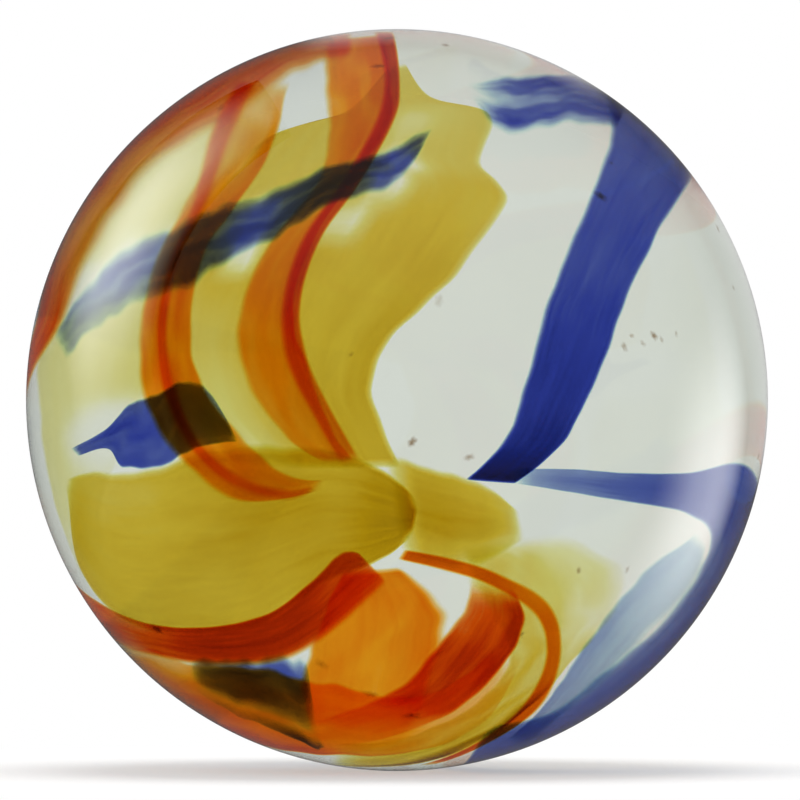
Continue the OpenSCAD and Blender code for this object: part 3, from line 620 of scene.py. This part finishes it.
# Clear glass: the tint wavers a little with the haze, and a bump ripples the skin
def clearGlass(name, finish):
    material, tree = newMaterial(name)
    where = addNode(tree, "ShaderNodeTexCoord").outputs["Object"]
    ripple = addNode(tree, "ShaderNodeTexNoise", {"Vector": where, "Scale": finish["rippleScale"],
                                                  "Detail": 1.0})
    bump = addNode(tree, "ShaderNodeBump", {"Height": ripple.outputs["Fac"], "Strength": finish["ripple"],
                                            "Distance": finish["rippleDepth"]})
    haze = addNode(tree, "ShaderNodeTexNoise", {"Vector": where, "Scale": finish["hazeScale"],
                                                "Detail": 3.0})
    tone = addNode(tree, "ShaderNodeValToRGB", {"Fac": haze.outputs["Fac"]})
    elements = tone.color_ramp.elements
    for element, place, shade in zip(elements, finish["hazeSpan"], finish["hazeShades"]):
        element.position = place
        element.color = (*(np.array(finish["tint"]) * shade), 1)
    glass = addNode(tree, "ShaderNodeBsdfPrincipled", {
        "Base Color": tone.outputs["Color"], "Roughness": 0.0, "IOR": glassBend,
        "Transmission Weight": 1.0, "Normal": bump.outputs["Normal"]})
    addNode(tree, "ShaderNodeOutputMaterial", {"Surface": glass.outputs["BSDF"]})
    return material


addPiece(ballMesh("clearBall", ball["turns"], ball["rings"]), clearGlass("clearGlass", ball),
         "clear_glass")
print("clear ball built")

# Pits and specks in the skin. The depth of their rims is a share of the radius, and centres are the
# depths of the two middles, counted in rim depths. places: u and v as seen from the front, half
# width in mm, darkness.
pits = dict(
    depth=0.006, centres=(0.6, 2.4), corners=14, speckScale=9000.0,
    grime=[(0, (1, 1, 1)), (1, (0.42, 0.3, 0.2)), (2, (0.12, 0.07, 0.05))],
    places=[(0.04, -0.11, 0.12, 1.2), (0.19, -0.15, 0.11, 0.8), (-0.64, -0.61, 0.18, 1.6),
            (0.68, 0.17, 0.12, 1), (0.6, 0.14, 0.11, 0.7), (0.11, 0.26, 0.14, 0.4),
            (0.86, 0.46, 0.11, 1), (0.88, 0.47, 0.08, 0.8), (0.81, 0.59, 0.11, 1),
            (0.54, 0.54, 0.16, 1.3), (0.48, -0.45, 0.09, 0.9), (0.61, -0.45, 0.09, 0.6),
            (-0.4, -0.7, 0.14, 0.6), (-0.4, -0.75, 0.12, 0.6), (0.04, -0.84, 0.19, 1),
            (-0.07, -0.78, 0.16, 0.8), (-0.2, -0.7, 0.16, 0.6), (-0.34, -0.92, 0.11, 0.7),
            (0.13, 0.95, 0.12, 0.8), (-0.02, 0.97, 0.16, 1), (-0.05, 0.89, 0.16, 1),
            (0.57, 0.63, 0.07, 0.8), (-0.47, 0.78, 0.14, 0.6), (0.9, 0.3, 0.07, 0.7),
            (0.33, -0.62, 0.08, 0.7), (-0.12, 0.12, 0.07, 0.6), (0.97, -0.15, 0.11, 1),
            (0.62, 0.17, 0.08, 0.6), (0.65, 0.15, 0.09, 0.6), (0.7, 0.16, 0.08, 0.6),
            (0.74, 0.175, 0.08, 0.5)],
)


# Each pit is a thin lens of grime: a middle in front, one behind, and a rim round them, at half width
# * (1 + 0.25 sin(2a + n) + 0.15 sin(5a + 3n)) for pit n, laid on the sphere that it is sunk to
def pitMesh(name, finish):
    u, v, halfWidth, darkness = np.array(finish["places"], float).T
    corners, depth = finish["corners"], finish["depth"]
    middle = onBall(u, v)
    right = np.cross([0, 0, 1.0], middle)
    right /= np.linalg.norm(right, axis=1, keepdims=True)
    up = np.cross(middle, right)
    turn = np.linspace(0, 2 * np.pi, corners, endpoint=False)
    number = np.arange(len(u))[:, None]
    waver = 1 + 0.25 * np.sin(2 * turn + number) + 0.15 * np.sin(5 * turn + 3 * number)
    width = (halfWidth[:, None] / 1000 * waver)[..., None]
    sunk = middle * ballRadius * (1 - depth)
    sideways = np.cos(turn)[:, None] * right[:, None] + np.sin(turn)[:, None] * up[:, None]
    rim = sunk[:, None] + width * sideways
    rim *= ballRadius * (1 - depth) / np.linalg.norm(rim, axis=2, keepdims=True)
    front, rear = (middle * ballRadius * (1 - centre * depth) for centre in finish["centres"])
    points = np.concatenate([front[:, None], rear[:, None], rim], 1)

    first = number * (corners + 2)
    here = first + 2 + np.arange(corners)
    following = first + 2 + (np.arange(corners) + 1) % corners
    outer = np.stack(np.broadcast_arrays(first, here, following), -1)
    inner = np.stack(np.broadcast_arrays(first + 1, following, here), -1)
    faces = np.concatenate([outer, inner]).reshape(-1, 3)
    mesh = bpy.data.meshes.new(name)
    mesh.from_pydata(points.reshape(-1, 3).tolist(), [], faces.tolist())
    shares = np.zeros((len(u), corners + 2), np.float32)
    shares[:, :2] = darkness[:, None]
    mesh.attributes.new("colourShare", "FLOAT", "POINT").data.foreach_set("value", shares.ravel())
    return mesh


addPiece(pitMesh("surfacePits", pits), grimeGlass("pitGrime", pits), "clear_glass")
print("pits built")

# Floor and light. shadeShare: how much of the floor's own shade is seen close by; shadeFade: metres
# from the middle between which it goes over into plain white. The mirror values are how bright the
# room is in the skin of the glass: behind the ball, above it and elsewhere. brightWays: directions in
# which the rim mirrors what is behind in full; the others keep dimShare of it. The other three fades
# hold the two cosines between which each of these comes in.
studio = dict(
    floorHalf=0.3, floorGrey=0.9, shadeShare=0.6, shadeFade=(0.012, 0.02), roomLight=0.85,
    mirrorBehind=0.6, behindFade=(0.72, 0.99), mirrorAbove=0.25, aboveFade=(0.2, 0.9),
    mirrorElsewhere=0.02, brightWays=[(0.98, 0, 0.21), (0.17, 0, 0.98)], brightFade=(0.89, 0.95),
    dimShare=0.2, lampSize=0.3, lampHeight=0.5, lampPower=1.2, glassBounces=48, clearBounces=24)
scene = bpy.context.scene


# Flat sheet of the studio: four corners round its middle
def flatSheet(name, middle, across, up, half, material):
    right, rise = half[0] * np.array(across), half[1] * np.array(up)
    corners = [middle - right - rise, middle + right - rise, middle + right + rise, middle - right + rise]
    mesh = bpy.data.meshes.new(name)
    mesh.from_pydata([tuple(corner) for corner in corners], [], [(0, 1, 2, 3)])
    mesh.materials.append(material)
    sheet = bpy.data.objects.new(name, mesh)
    scene.collection.objects.link(sheet)
    return sheet


# 1 on the rays that should meet the plain white background: the camera's, and those through glass
def seenRays(tree):
    path = addNode(tree, "ShaderNodeLightPath")
    return mathNode(tree, "MAXIMUM", path.outputs["Is Camera Ray"], path.outputs["Is Transmission Ray"])


# Pale paper: it takes the marble's shadow close by and fades into the white further out
def palePaper(name):
    material, tree = newMaterial(name)
    where = addNode(tree, "ShaderNodeTexCoord").outputs["Object"]
    apart = vectorNode(tree, "LENGTH", where, result="Value")
    fade = mapRange(tree, apart, studio["shadeFade"], (1 - studio["shadeShare"], 1.0), "SMOOTHSTEP")
    share = mathNode(tree, "MULTIPLY", seenRays(tree), fade)
    grey = studio["floorGrey"]
    paper = addNode(tree, "ShaderNodeBsdfDiffuse", {"Color": (grey, grey, grey, 1)})
    white = addNode(tree, "ShaderNodeEmission", {"Color": (1, 1, 1, 1), "Strength": 1.0})
    mixed = addNode(tree, "ShaderNodeMixShader", {0: share, 1: paper.outputs[0], 2: white.outputs[0]})
    addNode(tree, "ShaderNodeOutputMaterial", {"Surface": mixed.outputs[0]})
    return material


floor = flatSheet("floor", np.array([0, 0, -ballRadius]), (1, 0, 0), (0, 1, 0),
                  (studio["floorHalf"], studio["floorHalf"]), palePaper("floorPaper"))
floor.visible_glossy = False
print("floor laid")


# White backdrop to the camera and through the glass. The skin of the glass mirrors it straight behind,
# in full on the bright sides and dimly on the others, and less of it above.
def whiteRoom(name):
    world = bpy.data.worlds.new(name)
    world.use_nodes = True
    tree = world.node_tree
    tree.nodes.clear()
    way = addNode(tree, "ShaderNodeTexCoord").outputs["Generated"]
    parts = addNode(tree, "ShaderNodeSeparateXYZ", {"Vector": way})
    behind = mapRange(tree, parts.outputs["Y"], studio["behindFade"],
                      (studio["mirrorElsewhere"], studio["mirrorBehind"]), "SMOOTHSTEP")
    above = mapRange(tree, parts.outputs["Z"], studio["aboveFade"], (0.0, studio["mirrorAbove"]),
                     "SMOOTHSTEP")
    sideways = vectorNode(tree, "NORMALIZE", vectorNode(tree, "MULTIPLY", way, (1, 0, 1)))
    bright = 0.0
    for brightWay in studio["brightWays"]:
        facing = vectorNode(tree, "DOT_PRODUCT", sideways, brightWay, result="Value")
        glow = mapRange(tree, facing, studio["brightFade"], (studio["dimShare"], 1.0), "SMOOTHSTEP")
        bright = mathNode(tree, "MAXIMUM", glow, bright)
    mirrored = mathNode(tree, "MAXIMUM", mathNode(tree, "MULTIPLY", behind, bright), above)
    glossy = addNode(tree, "ShaderNodeLightPath").outputs["Is Glossy Ray"]
    room = addNode(tree, "ShaderNodeMix", {0: glossy, 2: studio["roomLight"], 3: mirrored},
                   data_type="FLOAT")
    level = addNode(tree, "ShaderNodeMix", {0: seenRays(tree), 2: room.outputs[0], 3: 1.0},
                    data_type="FLOAT")
    sky = addNode(tree, "ShaderNodeBackground", {"Color": (1, 1, 1, 1), "Strength": level.outputs[0]})
    addNode(tree, "ShaderNodeOutputWorld", {"Surface": sky.outputs[0]})
    return world


scene.world = whiteRoom("studio")

# Soft cards that show as pale veils down the sides of the glass, but not through it. Bearing and
# rise are degrees from the front, lean is the tilt of the card's upright in degrees, and half is half
# its width and half its height in metres.
cards = dict(
    right=dict(bearing=118, rise=-15, lean=16, half=(0.22, 0.26), distance=0.45, strength=3.3),
    left=dict(bearing=-114, rise=27, lean=30, half=(0.2, 0.32), distance=0.45, strength=3.8))


# Glow that is full in the card's middle share and fades to nothing at its edges
def cardGlow(name, middle, across, up, half, strength, fullShare=0.1):
    material, tree = newMaterial(name)
    where = addNode(tree, "ShaderNodeTexCoord").outputs["Object"]
    shifted = vectorNode(tree, "SUBTRACT", where, tuple(middle))
    power = strength
    for direction, reach in ((across, half[0]), (up, half[1])):
        away = vectorNode(tree, "DOT_PRODUCT", shifted, tuple(direction), result="Value")
        apart = mathNode(tree, "ABSOLUTE", away)
        edge = mapRange(tree, apart, (fullShare * reach, reach), (1.0, 0.0), "SMOOTHSTEP")
        power = mathNode(tree, "MULTIPLY", edge, power)
    light = addNode(tree, "ShaderNodeEmission", {"Color": (1, 1, 1, 1), "Strength": power})
    addNode(tree, "ShaderNodeOutputMaterial", {"Surface": light.outputs[0]})
    return material


for side, card in cards.items():
    bearing, rise, lean = np.radians([card["bearing"], card["rise"], card["lean"]])
    outward = np.array([np.sin(bearing) * np.cos(rise), -np.cos(bearing) * np.cos(rise), np.sin(rise)])
    sideways = np.array([np.cos(bearing), np.sin(bearing), 0])
    upright = np.cross(sideways, -outward)
    across = sideways * np.cos(lean) + upright * np.sin(lean)
    up = upright * np.cos(lean) - sideways * np.sin(lean)
    middle = card["distance"] * outward
    glow = cardGlow(side + "Glow", middle, across, up, card["half"], card["strength"])
    sheet = flatSheet(side + "Card", middle, across, up, card["half"], glow)
    sheet.visible_camera = False
    sheet.visible_transmission = False
    sheet.visible_diffuse = False
    sheet.visible_shadow = False

lamp = bpy.data.lights.new("softLight", "AREA")
lamp.shape = "DISK"
lamp.size = studio["lampSize"]
lamp.energy = studio["lampPower"]
overhead = bpy.data.objects.new("softLight", lamp)
overhead.location = (0, 0, studio["lampHeight"])
overhead.visible_glossy = False
overhead.visible_transmission = False
scene.collection.objects.link(overhead)
scene.cycles.max_bounces = studio["glassBounces"]
scene.cycles.transmission_bounces = studio["glassBounces"]
scene.cycles.transparent_max_bounces = studio["clearBounces"]
scene.view_settings.view_transform = "Standard"
print("light set")

# Camera straight in front; ballWide and ballMiddle are the ball in the photograph, in pixels
shot = dict(distance=0.25, nearest=0.01, imageSize=800, ballWide=742, ballMiddle=397)
camera = bpy.data.objects.new("camera", bpy.data.cameras.new("camera"))
scene.collection.objects.link(camera)
scene.camera = camera
halfView = np.tan(np.arcsin(ballRadius / shot["distance"])) * shot["imageSize"] / shot["ballWide"]
camera.data.lens = 0.5 * camera.data.sensor_width / halfView
camera.data.clip_start = shot["nearest"]
camera.data.shift_x = 0.5 - shot["ballMiddle"] / shot["imageSize"]
camera.location = (0, -shot["distance"], 0)
camera.rotation_euler = (np.pi / 2, 0, 0)
print("camera set")

print("scene ready")
